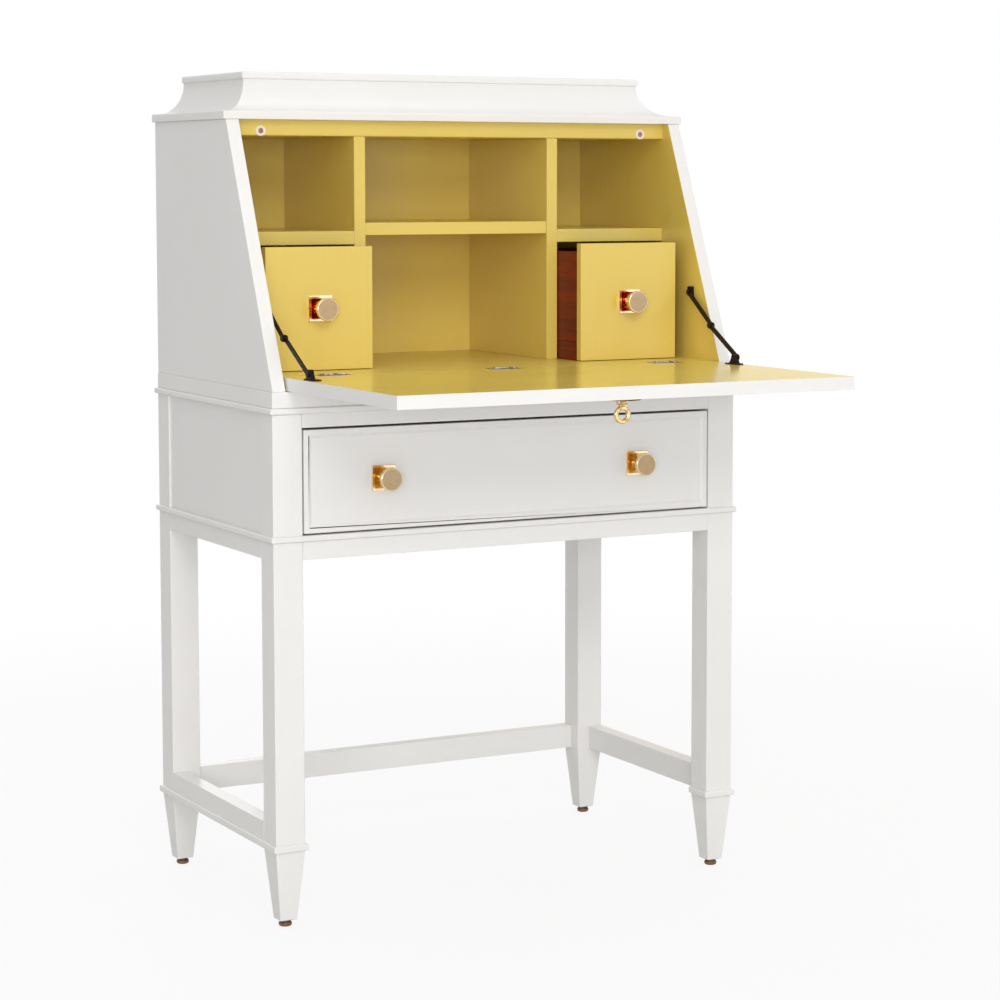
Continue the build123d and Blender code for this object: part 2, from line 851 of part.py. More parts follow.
plates = []
knobs = []
for side in (-1, 1):
    plates.append(knob_plate(side * knob_spacing, main_panel_recess, main_middle))
    knobs.append(knob(side * knob_spacing, main_panel_recess, main_middle))
save("main_drawer_knob_plates", plates)
save("main_drawer_knobs", knobs)
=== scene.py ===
import math

import bmesh
import bpy
from mathutils import Matrix, Vector


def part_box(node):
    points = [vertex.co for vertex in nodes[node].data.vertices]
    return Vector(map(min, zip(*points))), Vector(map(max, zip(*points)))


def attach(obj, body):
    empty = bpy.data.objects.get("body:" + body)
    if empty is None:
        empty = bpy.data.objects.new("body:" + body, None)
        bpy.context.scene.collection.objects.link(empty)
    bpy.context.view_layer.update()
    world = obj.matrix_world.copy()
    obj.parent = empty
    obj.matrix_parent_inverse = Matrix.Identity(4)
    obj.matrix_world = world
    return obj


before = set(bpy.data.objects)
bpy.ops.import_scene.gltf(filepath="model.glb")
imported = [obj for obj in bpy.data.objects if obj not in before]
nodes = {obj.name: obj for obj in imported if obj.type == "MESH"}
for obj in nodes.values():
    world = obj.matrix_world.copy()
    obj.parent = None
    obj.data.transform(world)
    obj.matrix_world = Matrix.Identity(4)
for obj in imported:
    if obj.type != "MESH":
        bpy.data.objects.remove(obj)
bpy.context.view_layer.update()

# Looks for the slant-front desk: lacquered boards with softened edges, stained drawer boxes, brass
# fittings, dark stays, and the screws of the hinges and the stays' feet. Everything is in metres,
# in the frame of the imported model: the front faces -Y, +X is to the right. Colours are linear RGB.


def middle(node):
    low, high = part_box(node)
    return (low + high) / 2


# ---------------------------------------------------------------- material helpers

SOCKETS = {"metallic": "Metallic", "specular": "Specular IOR Level",
           "coat": "Coat Weight", "coat_rough": "Coat Roughness"}


class Shader:
    """A material whose nodes are added one at a time, with the Principled shader in self.p."""

    def __init__(self, name):
        self.material = bpy.data.materials.new(name)
        self.material.use_nodes = True
        self.tree = self.material.node_tree
        self.p = self.tree.nodes["Principled BSDF"]
        self.coords = self.tree.nodes.new("ShaderNodeTexCoord").outputs["Object"]

    def link(self, output, target):
        self.tree.links.new(output, target)

    def add(self, kind, **settings):
        node = self.tree.nodes.new("ShaderNode" + kind)
        for key, value in settings.items():
            setattr(node, key, value)
        return node

    def math(self, operation, *values):
        """One calculation. Each value is an output or a number."""
        node = self.add("Math", operation=operation)
        for socket, value in zip(node.inputs, values):
            if isinstance(value, (int, float)):
                socket.default_value = value
            else:
                self.link(value, socket)
        return node.outputs[0]

    def weighted(self, a, weight_a, b, weight_b):
        """The sum of two values, each times its weight."""
        return self.math("ADD", self.math("MULTIPLY", a, weight_a),
                         self.math("MULTIPLY", b, weight_b))

    def stretched(self, axis, across, along):
        """The object's coordinates for a pattern drawn out along one axis: a scale along it and a
        finer one across it."""
        node = self.add("VectorMath", operation="MULTIPLY")
        self.link(self.coords, node.inputs[0])
        node.inputs[1].default_value = tuple(along if name == axis else across for name in "XYZ")
        return node.outputs[0]

    def noise(self, vector, scale=1.0, detail=2.0, rough=0.5, distortion=0.0):
        node = self.add("TexNoise")
        node.inputs["Scale"].default_value = scale
        node.inputs["Detail"].default_value = detail
        node.inputs["Roughness"].default_value = rough
        node.inputs["Distortion"].default_value = distortion
        self.link(vector, node.inputs["Vector"])
        return node.outputs["Fac"]

    def spread(self, value, low, high, to_low=0.0, to_high=1.0):
        """A value from one range, moved smoothly into another."""
        node = self.add("MapRange", interpolation_type="SMOOTHSTEP")
        self.link(value, node.inputs["Value"])
        node.inputs["From Min"].default_value = low
        node.inputs["From Max"].default_value = high
        node.inputs["To Min"].default_value = to_low
        node.inputs["To Max"].default_value = to_high
        return node.outputs["Result"]

    def blend(self, share, a, b):
        """A colour between a and b. Each is an output or a colour."""
        node = self.add("Mix", data_type="RGBA")
        self.link(share, node.inputs["Factor"])
        for key, value in (("A", a), ("B", b)):
            socket = [s for s in node.inputs if s.name == key and s.type == "RGBA"][0]
            if isinstance(value, tuple):
                socket.default_value = (*value, 1.0)
            else:
                self.link(value, socket)
        return [s for s in node.outputs if s.type == "RGBA"][0]

    def bump(self, height, distance, strength, below=None):
        """A bumped normal, laid over another one if that is given."""
        node = self.add("Bump")
        node.inputs["Distance"].default_value = distance
        node.inputs["Strength"].default_value = strength
        self.link(height, node.inputs["Height"])
        if below is not None:
            self.link(below, node.inputs["Normal"])
        return node.outputs["Normal"]

    def finish(self, colour, rough, normal, **fixed):
        """Joins the results to the shader. Roughness is an output or a number."""
        self.link(colour, self.p.inputs["Base Color"])
        if isinstance(rough, float):
            self.p.inputs["Roughness"].default_value = rough
        else:
            self.link(rough, self.p.inputs["Roughness"])
        self.link(normal, self.p.inputs["Normal"])
        for key, value in fixed.items():
            self.p.inputs[SOCKETS[key]].default_value = value
        return self.material


# ---------------------------------------------------------------- lacquer and wood


def lacquer(name, colours, axis, rough, coat):
    """Sprayed lacquer over close-grained wood: a soft mottle, the grain just telling through along
    the board, and fine orange peel."""
    light, deep = colours
    s = Shader(name)
    cloud = s.noise(s.coords, scale=4.0, detail=3.0)
    grain = s.noise(s.stretched(axis, across=150.0, along=5.0), detail=3.0)
    fibre = s.noise(s.stretched(axis, across=900.0, along=14.0))
    peel = s.noise(s.coords, scale=420.0, detail=1.0)
    tone = s.weighted(cloud, 0.8, grain, 0.2)
    colour = s.blend(s.spread(tone, 0.36, 0.66), deep, light)
    wear = s.weighted(cloud, 0.5, fibre, 0.5)
    gloss = s.spread(wear, 0.3, 0.7, rough - 0.03, rough + 0.04)
    normal = s.bump(grain, 0.00003, 0.10)
    normal = s.bump(fibre, 0.00001, 0.10, normal)
    normal = s.bump(peel, 0.00002, 0.12, normal)
    return s.finish(colour, gloss, normal, coat=coat, coat_rough=0.14)


WHITE = (0.805, 0.794, 0.778), (0.789, 0.777, 0.759)
YELLOW = (0.735, 0.560, 0.120), (0.713, 0.540, 0.112)
white = {a: lacquer("white_lacquer_" + a, WHITE, a, rough=0.34, coat=0.10) for a in "XYZ"}
yellow = {a: lacquer("yellow_lacquer_" + a, YELLOW, a, rough=0.30, coat=0.20) for a in "XYZ"}
yellow_gloss = lacquer("yellow_gloss", YELLOW, "X", rough=0.20, coat=0.05)

WOOD_LIGHT, WOOD_DARK = (0.240, 0.027, 0.010), (0.110, 0.010, 0.0045)
WOOD_PORE = (0.022, 0.003, 0.002)


def stained_wood(name, axis):
    """Red-brown stained hardwood with long figure, dark pores and a thin clear finish."""
    s = Shader(name)
    bend = s.noise(s.stretched(axis, across=9.0, along=2.0))
    figure = s.noise(s.stretched(axis, across=60.0, along=3.5),
                     detail=5.0, rough=0.62, distortion=0.6)
    pores = s.noise(s.stretched(axis, across=900.0, along=22.0))
    tone = s.weighted(figure, 0.72, bend, 0.28)
    colour = s.blend(s.spread(tone, 0.34, 0.66), WOOD_DARK, WOOD_LIGHT)
    pits = s.spread(pores, 0.54, 0.66)
    colour = s.blend(s.math("MULTIPLY", pits, 0.4), colour, WOOD_PORE)
    gloss = s.spread(figure, 0.3, 0.7, 0.40, 0.52)
    normal = s.bump(figure, 0.00006, 0.2)
    normal = s.bump(s.math("SUBTRACT", 1.0, pits), 0.00008, 0.3, normal)
    return s.finish(colour, gloss, normal, specular=0.22)


wood = {a: stained_wood("mahogany_" + a, a) for a in "XYZ"}

# ---------------------------------------------------------------- metals


def polished_metal(name, bright, tarnish_and_reflection, rough, cloud_scale=90.0):
    """Polished metal with dark clouds of oxide, which on the ring pull are painted reflection, fine
    buffing lines and a few handling marks.
    """
    s = Shader(name)
    cloud = s.noise(s.coords, scale=cloud_scale, detail=3.0)
    buff = s.noise(s.stretched("Z", across=2600.0, along=120.0), detail=1.0)
    smear = s.noise(s.coords, scale=260.0, detail=4.0, rough=0.65)
    colour = s.blend(s.spread(cloud, 0.38, 0.7), bright, tarnish_and_reflection)
    gloss = s.spread(smear, 0.35, 0.72, rough, rough + 0.09)
    normal = s.bump(buff, 0.00002, 0.25)
    return s.finish(colour, gloss, normal, metallic=1.0)


brass = polished_metal("brass_polished", (0.870, 0.640, 0.330), (0.780, 0.530, 0.235), 0.10)
brass_pale = polished_metal("brass_pale", (0.990, 0.820, 0.560), (0.930, 0.730, 0.450), 0.12)
# On the ring pull the dark clouds are painted reflection: dark amber patches standing in for the
# darker surroundings the brass mirrors.
brass_painted_reflection = polished_metal("brass_painted_reflection", (0.880, 0.680, 0.370), (0.540, 0.340, 0.110), 0.13, 150.0)
# Painted shade: a near-black copy of the brass for the edge faces of the ring pull's plate.
brass_edge_painted_shade = polished_metal("brass_edge_painted_shade", (0.110, 0.060, 0.045), (0.030, 0.014, 0.012), 0.35)
steel = polished_metal("hinge_steel", (0.70, 0.66, 0.70), (0.10, 0.07, 0.08), 0.26, 170.0)
# Painted shade: this near-black copy of the hinge steel goes on the leaves' flat tops, darker than
# the barrels.
steel_painted_shade = polished_metal("hinge_steel_dark", (0.085, 0.055, 0.050), (0.040, 0.024, 0.022), 0.55)
glide_rim = polished_metal("glide_rim", (0.16, 0.13, 0.11), (0.09, 0.07, 0.06), 0.30)
copper = polished_metal("catch_magnet", (0.52, 0.24, 0.14), (0.30, 0.12, 0.07), 0.28)


def round_axis(node):
    """Where a round piece's axis stands: X and Z. Of a mirrored pair, the one with positive X."""
    low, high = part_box(node)
    centre = middle(node)
    radius = (high.z - low.z) / 2
    across = abs(centre.x)
    if across < radius:
        across = high.x - radius
    return across, centre.z


def radius_from(s, node):
    """Distance in X and Z from the axis of the nearer of two mirrored round pieces."""
    across, level = round_axis(node)
    split = s.add("SeparateXYZ")
    s.link(s.coords, split.inputs[0])
    dx = s.math("SUBTRACT", s.math("ABSOLUTE", split.outputs["X"]), across)
    dz = s.math("SUBTRACT", split.outputs["Z"], level)
    return s.math("SQRT", s.math("ADD", s.math("MULTIPLY", dx, dx), s.math("MULTIPLY", dz, dz)))


# The rim's pale colour is a painted highlight on the knob's brass.
RIM_PAINTED_HIGHLIGHT = (1.0, 0.86, 0.62)
RIM_WIDTH, RIM_FADE = 0.0012, 0.0005
TURNING_SCALE = 6500.0


def turned_knob(name, node, light, deep):
    """A knob's disc: a flat face with fine turning lines, and a polished rim with a painted
    highlight: its paler colour is painted, its lower roughness is the polish.
    """
    s = Shader(name)
    low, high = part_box(node)
    edge = (high.z - low.z) / 2 - RIM_WIDTH
    r = radius_from(s, node)
    rings = s.add("TexNoise", noise_dimensions="1D")
    rings.inputs["Scale"].default_value = TURNING_SCALE
    s.link(r, rings.inputs["W"])
    turned = rings.outputs["Fac"]
    rim = s.spread(r, edge - RIM_FADE, edge)
    cloud = s.noise(s.coords, scale=120.0, detail=3.0)
    face = s.blend(s.spread(cloud, 0.3, 0.7), light, deep)
    colour = s.blend(rim, face, RIM_PAINTED_HIGHLIGHT)
    gloss = s.math("SUBTRACT", s.spread(turned, 0.3, 0.7, 0.34, 0.42),
                   s.math("MULTIPLY", rim, 0.28))
    fade = s.math("MULTIPLY", turned, s.math("SUBTRACT", 1.0, rim))
    normal = s.bump(fade, 0.00002, 0.5)
    return s.finish(colour, gloss, normal, metallic=1.0)


# Where the painted highlight round the knob's neck lies on a backplate's sunk square.
NECK_HIGHLIGHT_FULL, NECK_HIGHLIGHT_END = 0.0075, 0.0140    # full inside one radius, gone at the other


def plate_recess(name, node, dark, glow, warm):
    """The sunk square of a backplate: deep coloured mirror polish, with a painted highlight in
    mottled patches round the neck.
    """
    s = Shader(name)
    r = radius_from(s, node)
    mottle = s.noise(s.coords, scale=210.0, detail=3.0, rough=0.6, distortion=0.8)
    spots = s.noise(s.coords, scale=520.0)
    near = s.spread(r, NECK_HIGHLIGHT_FULL, NECK_HIGHLIGHT_END, 1.0, 0.0)
    painted_highlight_share = s.math("MULTIPLY", s.spread(mottle, 0.46, 0.60), near)
    colour = s.blend(s.spread(spots, 0.35, 0.7), dark, warm)
    colour = s.blend(painted_highlight_share, colour, glow)
    gloss = s.spread(mottle, 0.3, 0.7, 0.10, 0.22)
    normal = s.bump(mottle, 0.0002, 0.35)
    return s.finish(colour, gloss, normal, metallic=1.0)


main_knob_finish = turned_knob("brass_turned_main", "main_drawer_knobs",
                               (0.560, 0.415, 0.245), (0.520, 0.380, 0.220))
small_knob_finish = turned_knob("brass_turned_small", "left_drawer_knob",
                                (0.620, 0.460, 0.290), (0.580, 0.420, 0.260))
# The middle colour of each recess is its painted highlight round the neck.
recess_main = plate_recess("brass_recess_main", "main_drawer_knob_plates",
                           (0.52, 0.300, 0.055), (1.00, 0.86, 0.52), (0.74, 0.470, 0.130))
recess_small = plate_recess("brass_recess_small", "left_drawer_knob_plate",
                            (0.230, 0.003, 0.005), (0.98, 0.72, 0.20), (0.33, 0.006, 0.010))

BRONZE_DARK, BRONZE_RUBBED = (0.005, 0.003, 0.003), (0.030, 0.006, 0.007)


def bronze(name):
    """Dark bronze on the stays: near-black with red-brown where it is rubbed, softly dented."""
    s = Shader(name)
    cloud = s.noise(s.coords, scale=120.0, detail=4.0, rough=0.6)
    fine = s.noise(s.coords, scale=900.0)
    colour = s.blend(s.spread(cloud, 0.42, 0.72), BRONZE_DARK, BRONZE_RUBBED)
    gloss = s.spread(fine, 0.3, 0.7, 0.34, 0.46)
    return s.finish(colour, gloss, s.bump(fine, 0.00003, 0.4), specular=0.16)


def moulded(name, light, deep, rough):
    """A moulded plastic surface: fine even texture with a little colour drift."""
    s = Shader(name)
    cloud = s.noise(s.coords, scale=160.0, detail=3.0)
    fine = s.noise(s.coords, scale=1800.0)
    colour = s.blend(s.spread(cloud, 0.3, 0.7), light, deep)
    gloss = s.spread(fine, 0.3, 0.7, rough - 0.05, rough + 0.06)
    return s.finish(colour, gloss, s.bump(fine, 0.00003, 0.4))


dark_bronze = bronze("dark_bronze")
pad = moulded("glide_pad", (0.285, 0.135, 0.045), (0.200, 0.085, 0.026), 0.42)
catch_white = moulded("catch_ring", (0.80, 0.775, 0.75), (0.73, 0.70, 0.67), 0.36)

# ---------------------------------------------------------------- finishes on the CAD pieces

FACING = 0.9                # a face looks along an axis when its normal has this share of it
EDGE_ON = 0.3               # and across it when the normal has less than this
PLATE_SUNK = 0.0008         # between a backplate's border and its sunk square
PULL_PLATE = 0.0034         # thickness of the ring pull's plate
LEAF_LEVEL = 0.0004         # the leaves' flat tops lie lower than this over the desk floor
MAGNET_RADIUS = 0.0045
MAGNET_SUNK = 0.001


def dress(node, default, rules=()):
    """Gives a node its materials. Each rule is (material, test of a face's centre and normal)."""
    mesh = nodes[node].data
    mesh.materials.clear()
    mesh.materials.append(default)
    for material, _ in rules:
        mesh.materials.append(material)
    for face in mesh.polygons:
        face.material_index = 0
        for index, (_, test) in enumerate(rules, 1):
            if test(face.center, face.normal):
                face.material_index = index


def forward(c, n):
    return n.y < -FACING


def backward(c, n):
    return n.y > FACING


def upward(c, n):
    return n.z > FACING


def sideways(sign):
    """The test for a face that looks to the right (1) or to the left (-1)."""
    return lambda c, n: n.x * sign > FACING


def sunk_square(plate):
    """The test for the sunk square of a backplate."""
    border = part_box(plate)[0].y
    return lambda c, n: forward(c, n) and c.y > border + PLATE_SUNK


grain_x = ["apron_front", "case_front_rail", "plinth", "cornice_base", "cornice_crown", "case_back",
           "rear_stretcher", "waist_moulding_lower", "waist_moulding_upper", "drawer_dust_panel",
           "main_drawer_front"]
grain_y = ["apron_left", "apron_right", "side_stretcher_left", "side_stretcher_right",
           "foot_mouldings", "case_side_left", "case_side_right"]
grain_z = ["leg_front_left", "leg_front_right", "leg_back_left", "leg_back_right"]
for names, axis in ((grain_x, "X"), (grain_y, "Y"), (grain_z, "Z")):
    for name in names:
        dress(name, white[axis])

for side, inward in (("left", 1.0), ("right", -1.0)):
    dress("cabinet_side_" + side, white["Z"], [(yellow["Z"], sideways(inward))])
    dress("divider_" + side, yellow["Z"])
    dress("shelf_" + side, yellow["X"])
    dress(side + "_drawer_front", yellow["Z"], [(wood["X"], backward)])
    dress(side + "_drawer_box", wood["Y"])
    dress(side + "_drawer_bottom", wood["Y"])
    dress(side + "_drawer_knob", brass, [(small_knob_finish, forward)])
    plate = side + "_drawer_knob_plate"
    dress(plate, brass_pale, [(recess_small, sunk_square(plate))])
    dress("stay_upper_arm_" + side, dark_bronze)
    dress("stay_lower_arm_" + side, dark_bronze)
for name in ("shelf_centre", "cabinet_top", "desk_floor"):
    dress(name, yellow["X"])
dress("cabinet_back", white["X"], [(yellow["X"], forward)])
dress("fall_panel", white["X"], [(yellow_gloss, upward)])
for name in ("small_drawer_guides", "main_drawer_box", "main_drawer_bottom"):
    dress(name, wood["Y"])
dress("main_drawer_knobs", brass, [(main_knob_finish, forward)])
dress("main_drawer_knob_plates", brass_pale,
      [(recess_main, sunk_square("main_drawer_knob_plates"))])
dress("stay_cabinet_brackets", dark_bronze)
dress("stay_fall_brackets", dark_bronze)

pull_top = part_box("ring_pull_plate")[1].z
desk_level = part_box("desk_floor")[1].z
glide_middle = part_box("foot_glides")[1].z * 0.5
catch_x, catch_z = round_axis("fall_catches")
catch_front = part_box("fall_catches")[0].y


def plate_rim(c, n):
    return abs(n.z) < EDGE_ON and c.z > pull_top - PULL_PLATE


def leaf_top(c, n):
    return upward(c, n) and c.z < desk_level + LEAF_LEVEL


def upper_half(c, n):
    return c.z > glide_middle


def magnet(c, n):
    near_axis = math.hypot(abs(c.x) - catch_x, c.z - catch_z) < MAGNET_RADIUS
    return forward(c, n) and near_axis and c.y > catch_front + MAGNET_SUNK


# The plate's edge faces get the painted shade.
dress("ring_pull_plate", brass, [(brass_edge_painted_shade, plate_rim)])
dress("ring_pull_ring", brass_painted_reflection)
# The leaves' flat tops get the painted shade.
for leaves in ("hinge_fixed_leaves", "hinge_moving_leaves"):
    dress(leaves, steel, [(steel_painted_shade, leaf_top)])
dress("foot_glides", pad, [(glide_rim, upper_half)])
dress("fall_catches", catch_white, [(copper, magnet)])

# ---------------------------------------------------------------- softened edges

# How round a piece's sharp edges are: words of its name, width, segments, and the angle in degrees
# from which an edge is sharp. The first row with a word in the name counts. The backplates are left
# out below: softened, their sunk squares come out black.
ROUNDING = (
    (("leg_",), 0.0014, 3, 32.0),
    (("fall_panel", "drawer_front"), 0.0009, 3, 32.0),
    (("box", "bottom", "guides"), 0.0006, 2, 32.0),
    (("knob", "ring_pull"), 0.0005, 3, 25.0),
    (("stay",), 0.0004, 2, 32.0),
    (("hinge", "fall_catches", "foot_glides"), 0.0002, 2, 32.0),
    (("cornice_crown",), 0.0006, 2, 40.0),
    (("cabinet_side", "cornice_base", "plinth"), 0.0011, 3, 32.0),
    (("",), 0.0007, 2, 32.0),
)
WELD_DISTANCE = 0.000002
FLAT_ANGLE = 0.25           # degrees up to which neighbouring faces are one flat face
NORMAL_WEIGHT = 80


def soften(node, width, segments, angle):
    """Rounds a node's sharp edges a little. The boards' own vertices stay as they are."""
    piece = nodes[node]
    weld = piece.modifiers.new("weld", "WELD")
    weld.merge_threshold = WELD_DISTANCE
    flat = piece.modifiers.new("flat", "DECIMATE")
    flat.decimate_type = "DISSOLVE"
    flat.angle_limit = math.radians(FLAT_ANGLE)
    flat.delimit = {"MATERIAL"}
    bevel = piece.modifiers.new("edges", "BEVEL")
    bevel.width = width
    bevel.segments = segments
    bevel.limit_method = "ANGLE"
    bevel.angle_limit = math.radians(angle)
    bevel.miter_outer = "MITER_ARC"
    even = piece.modifiers.new("even", "WEIGHTED_NORMAL")
    even.weight = NORMAL_WEIGHT


for name in nodes:
    if "knob_plate" not in name:
        rounding = next(row for row in ROUNDING if any(word in name for word in row[0]))
        soften(name, *rounding[1:])

# ---------------------------------------------------------------- screws in the fittings

SPOKES, RINGS = 40, 9
DOME_HEIGHT = 0.00022
HEAD_STAND = 0.00004        # the head's surface over the leaf, inside its edge
EDGE_SINK = 0.0001          # and its edge under the leaf
CROSS_HALF_WIDTH, CROSS_REACH = 0.13, 0.62      # of the head's radius
CROSS_DEPTH = 0.00045
TAPER, TAPER_DEPTH = 0.8, 0.0009


def screw_head(name, radius):
    """The mesh of a countersunk cross-head screw: a low dome with a sunk cross, tapered below."""
    bm = bmesh.new()
    rows = []
    for i in range(RINGS + 1):
        share = i / RINGS
        row = []
        for k in range(SPOKES):
            a = 2 * math.pi * k / SPOKES
            x, y = radius * share * math.cos(a), radius * share * math.sin(a)
            dome = DOME_HEIGHT * (1 - share * share) + (HEAD_STAND if share < 1 else -EDGE_SINK)
            arm = radius * CROSS_HALF_WIDTH
            reach = radius * CROSS_REACH
            inside = (abs(x) < arm and abs(y) < reach) or (abs(y) < arm and abs(x) < reach)
            sunk = CROSS_DEPTH * (1 - share) if inside and i < RINGS else 0.0
            row.append(bm.verts.new((x, y, dome - sunk)))
            if i == 0:
                break
        rows.append(row)
    for k in range(SPOKES):
        bm.faces.new((rows[0][0], rows[1][k], rows[1][(k + 1) % SPOKES]))
    for i in range(1, RINGS):
        for k in range(SPOKES):
            n = (k + 1) % SPOKES
            bm.faces.new((rows[i][k], rows[i + 1][k], rows[i + 1][n], rows[i][n]))
    base = [bm.verts.new((v.co.x * TAPER, v.co.y * TAPER, -TAPER_DEPTH)) for v in rows[RINGS]]
    for k in range(SPOKES):
        n = (k + 1) % SPOKES
        bm.faces.new((rows[RINGS][k], base[k], base[n], rows[RINGS][n]))
    bm.faces.new(list(reversed(base)))
    mesh = bpy.data.meshes.new(name)
    bm.to_mesh(mesh)
    bm.free()
    for face in mesh.polygons:
        face.use_smooth = True
    return mesh


def screw(name, place, radius, body, material, turn):
    """A screw that looks up out of a fitting, turned about its axis."""
    mesh = screw_head(name, radius)
    mesh.materials.append(material)
    piece = bpy.data.objects.new(name, mesh)
    bpy.context.scene.collection.objects.link(piece)
    piece.matrix_world = Matrix.Translation(place) @ Matrix.Rotation(turn, 4, "Z")
    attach(piece, body)


HINGE_SCREW_RADIUS = 0.0026
HINGE_SCREW_SINK = 0.0001
FLOOR_SCREW_TURN, FALL_SCREW_TURN = 3.5416, 4.2416      # the first screw's
LEAF_HALF = 0.026           # half of a leaf's length
SCREW_PITCH = 0.0185
LEAF_INSET = 0.0042         # from the leaf's long edge

fixed_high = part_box("hinge_fixed_leaves")[1]
moving_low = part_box("hinge_moving_leaves")[0]
hinge_spacing = fixed_high.x - LEAF_HALF
screw_level = desk_level - HINGE_SCREW_SINK
for h, hinge_x in enumerate((-hinge_spacing, 0.0, hinge_spacing)):
    for k in range(3):
        x = hinge_x + (k - 1) * SCREW_PITCH
        screw(f"hinge_screw_floor_{h}_{k}", (x, fixed_high.y - LEAF_INSET, screw_level),
              HINGE_SCREW_RADIUS, "cabinet", steel, FLOOR_SCREW_TURN + h + k)
        screw(f"hinge_screw_fall_{h}_{k}", (x, moving_low.y + LEAF_INSET, screw_level),
              HINGE_SCREW_RADIUS, "fall", steel, FALL_SCREW_TURN + h * 2 + k)

FOOT_SCREW_RADIUS = 0.0021
FOOT_SCREW_TURN = 3.8416
FOOT_LENGTH = 0.032
FOOT_THICKNESS = 0.0019
FOOT_INSET = 0.0034         # from the foot's ends
FRONT_SCREW_X, BACK_SCREW_X = 0.0072, 0.0115    # from the foot's outer edge

foot_low, foot_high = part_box("stay_fall_brackets")
for label, sign, back in (("left", -1.0, foot_low.y + FOOT_LENGTH), ("right", 1.0, foot_high.y)):
    for k, (x, y) in enumerate(((FRONT_SCREW_X, back - FOOT_LENGTH + FOOT_INSET),
                                (BACK_SCREW_X, back - FOOT_INSET))):
        screw(f"stay_foot_screw_{label}_{k}",
              (sign * (foot_high.x - x), y, desk_level + FOOT_THICKNESS),
              FOOT_SCREW_RADIUS, "fall", dark_bronze, FOOT_SCREW_TURN + k)

# ---------------------------------------------------------------- floor

FLOOR_RADIUS = 60.0
FLOOR_LEVEL = -0.0002       # just under the glides
FLOOR_ROUGHNESS = 0.6
GLOW_NEAR, GLOW_FAR = 1.2, 3.0      # distances from the desk's middle
NEAR_GLOW_SHARE = 0.88
PLAIN_WHITE = (1.0, 1.0, 1.0, 1.0)


def floor():
    """A wide pale floor. The camera sees it glow: a little less near the desk, where shadows
    fall, and plain white far from it. The glow lights nothing."""
    s = Shader("pale_floor")
    cloud = s.noise(s.coords, scale=1.3, detail=3.0)
    fine = s.noise(s.coords, scale=220.0)
    colour = s.blend(cloud, (0.620, 0.618, 0.613), (0.640, 0.638, 0.634))
    s.finish(colour, FLOOR_ROUGHNESS, s.bump(fine, 0.0002, 0.08))
    distance = s.add("VectorMath", operation="LENGTH")
    s.link(s.coords, distance.inputs[0])
    share = s.spread(distance.outputs["Value"], GLOW_NEAR, GLOW_FAR, NEAR_GLOW_SHARE, 1.0)
    path = s.add("LightPath")
    glow = s.add("Emission")
    glow.inputs["Color"].default_value = PLAIN_WHITE
    glow.inputs["Strength"].default_value = 1.0
    mix = s.add("MixShader")
    s.link(s.math("MULTIPLY", share, path.outputs["Is Camera Ray"]), mix.inputs[0])
    s.link(s.p.outputs[0], mix.inputs[1])
    s.link(glow.outputs[0], mix.inputs[2])
    s.link(mix.outputs[0], s.tree.nodes["Material Output"].inputs["Surface"])
    mesh = bpy.data.meshes.new("floor")
    bm = bmesh.new()
    bmesh.ops.create_circle(bm, cap_ends=True, radius=FLOOR_RADIUS, segments=96)
    bm.to_mesh(mesh)
    bm.free()
    mesh.materials.append(s.material)
    piece = bpy.data.objects.new("floor", mesh)
    bpy.context.scene.collection.objects.link(piece)
    piece.location.z = FLOOR_LEVEL


floor()

# ---------------------------------------------------------------- light


def softbox(name, place, target, size, watts, colour=(1.0, 0.995, 0.988)):
    """A rectangular lamp aimed at a point, which the camera doesn't see."""
    data = bpy.data.lights.new(name, "AREA")
    data.shape = "RECTANGLE"
    data.size, data.size_y = size
    data.energy = watts
    data.color = colour
    lamp = bpy.data.objects.new(name, data)
    bpy.context.scene.collection.objects.link(lamp)
    lamp.visible_camera = False
    lamp.location = place
    lamp.rotation_mode = "QUATERNION"
    lamp.rotation_quaternion = (Vector(target) - Vector(place)).to_track_quat("-Z", "Y")


# Name, place, the point it is aimed at, size, watts.
softbox("key", (-1.2, -5.3, 1.2), (0.0, 0.0, 0.85), (2.0, 1.1), 24.0)
softbox("key_above", (-1.3, -4.6, 3.1), (0.0, 0.0, 0.8), (2.4, 1.6), 74.0)
softbox("key_left", (-2.9, -4.7, 1.2), (0.0, 0.0, 0.85), (1.8, 1.2), 60.0)
softbox("overhead", (0.1, 0.2, 4.2), (0.0, 0.0, 0.6), (3.0, 2.4), 22.0)
softbox("reflector", (2.5, -4.5, 0.85), (0.1, 0.0, 0.8), (2.6, 1.6), 11.0)
softbox("fill_left", (-3.5, -0.6, 2.2), (0.0, 0.0, 0.9), (2.0, 1.4), 4.5)
softbox("fill_right", (4.6, 0.9, 1.3), (0.0, 0.2, 0.8), (2.4, 1.6), 42.0)
softbox("fill_back", (0.4, 5.0, 1.4), (0.0, 0.3, 0.8), (2.6, 1.6), 30.0)
softbox("back_card", (3.1, 3.6, 1.1), (0.3, 0.0, 0.8), (2.4, 1.1), 6.0, (1.0, 0.84, 0.50))

EYE_LEVEL_STRENGTH, OVERHEAD_STRENGTH = 0.46, 0.72
EYE_LEVEL_SLOPE, OVERHEAD_SLOPE = 0.08, 0.90    # the Z of a direction at which each is reached


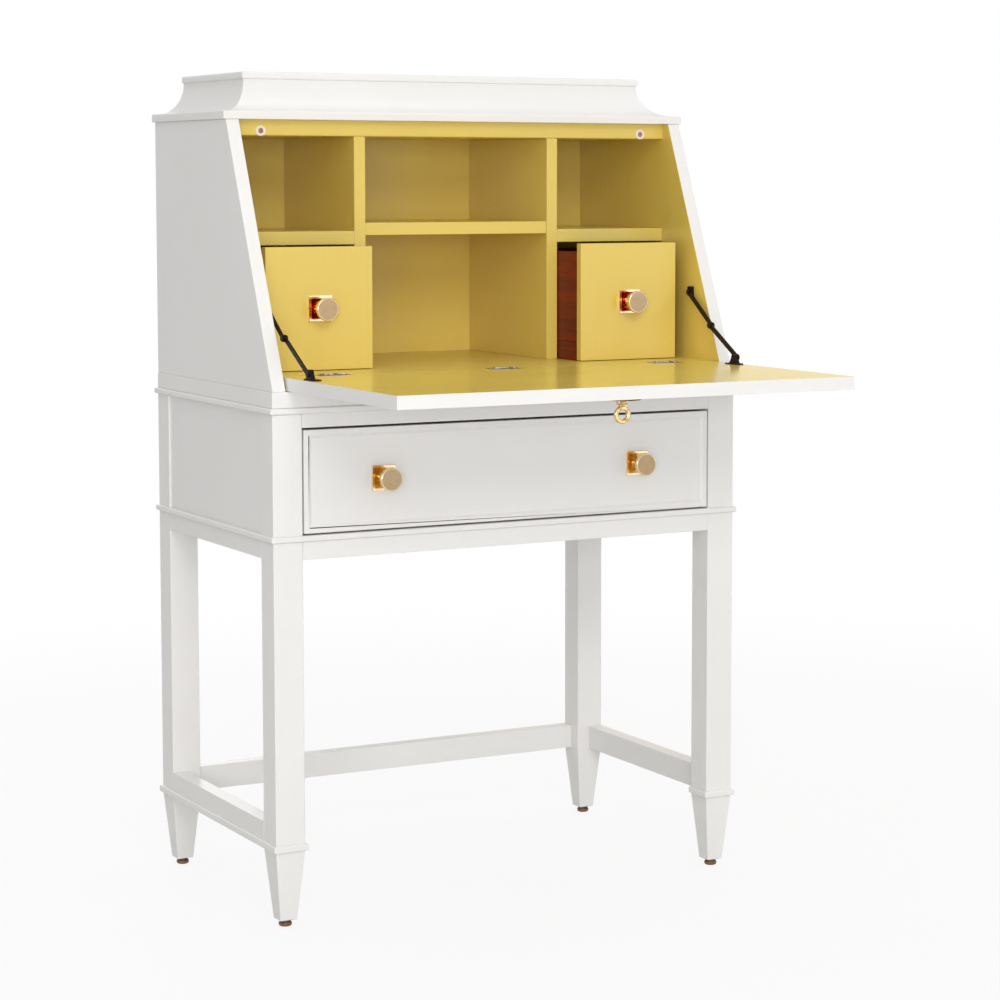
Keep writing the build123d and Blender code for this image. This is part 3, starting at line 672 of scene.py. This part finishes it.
def room():
    """The world: moderate at eye level, brighter overhead, plain white where the camera looks."""
    world = bpy.data.worlds.new("studio")
    bpy.context.scene.world = world
    world.use_nodes = True
    tree = world.node_tree
    direction = tree.nodes.new("ShaderNodeTexCoord")
    parts = tree.nodes.new("ShaderNodeSeparateXYZ")
    strength = tree.nodes.new("ShaderNodeMapRange")
    strength.interpolation_type = "SMOOTHSTEP"
    strength.inputs["From Min"].default_value = EYE_LEVEL_SLOPE
    strength.inputs["From Max"].default_value = OVERHEAD_SLOPE
    strength.inputs["To Min"].default_value = EYE_LEVEL_STRENGTH
    strength.inputs["To Max"].default_value = OVERHEAD_STRENGTH
    tree.links.new(direction.outputs["Generated"], parts.inputs[0])
    tree.links.new(parts.outputs["Z"], strength.inputs["Value"])
    background = tree.nodes["Background"]
    background.inputs["Color"].default_value = PLAIN_WHITE
    tree.links.new(strength.outputs["Result"], background.inputs["Strength"])
    seen = tree.nodes.new("ShaderNodeBackground")
    seen.inputs["Color"].default_value = PLAIN_WHITE
    seen.inputs["Strength"].default_value = 1.0
    path = tree.nodes.new("ShaderNodeLightPath")
    both = tree.nodes.new("ShaderNodeMixShader")
    tree.links.new(path.outputs["Is Camera Ray"], both.inputs[0])
    tree.links.new(background.outputs[0], both.inputs[1])
    tree.links.new(seen.outputs[0], both.inputs[2])
    tree.links.new(both.outputs[0], tree.nodes["World Output"].inputs["Surface"])


room()
view = bpy.context.scene.view_settings
view.view_transform = "Standard"
view.look = "None"
view.exposure = 0.0

# ---------------------------------------------------------------- camera

CAMERA_PLACE = (-1.8446, -3.5097, 1.0624)
YAW, PITCH, ROLL = math.radians(29.056), math.radians(5.326), math.radians(0.042)
SENSOR_WIDTH = 36.0
LENS_RATIO = 2.692          # focal length over sensor width
SHIFT = (-0.060, -0.070)
CLIP_END = 200.0

level_ahead = Vector((math.sin(YAW), math.cos(YAW), 0.0))
ahead = math.cos(PITCH) * level_ahead - math.sin(PITCH) * Vector((0.0, 0.0, 1.0))
right = Vector((math.cos(YAW), -math.sin(YAW), 0.0))
up = right.cross(ahead)
tilted_right = math.cos(ROLL) * right + math.sin(ROLL) * up
tilted_up = -math.sin(ROLL) * right + math.cos(ROLL) * up
camera_data = bpy.data.cameras.new("camera")
camera_data.sensor_width = SENSOR_WIDTH
camera_data.lens = SENSOR_WIDTH * LENS_RATIO
camera_data.shift_x, camera_data.shift_y = SHIFT
camera_data.clip_end = CLIP_END
camera = bpy.data.objects.new("camera", camera_data)
bpy.context.scene.collection.objects.link(camera)
facing = Matrix((tilted_right, tilted_up, -ahead)).transposed().to_4x4()
camera.matrix_world = Matrix.Translation(CAMERA_PLACE) @ facing
bpy.context.scene.camera = camera

bpy.context.view_layer.update()
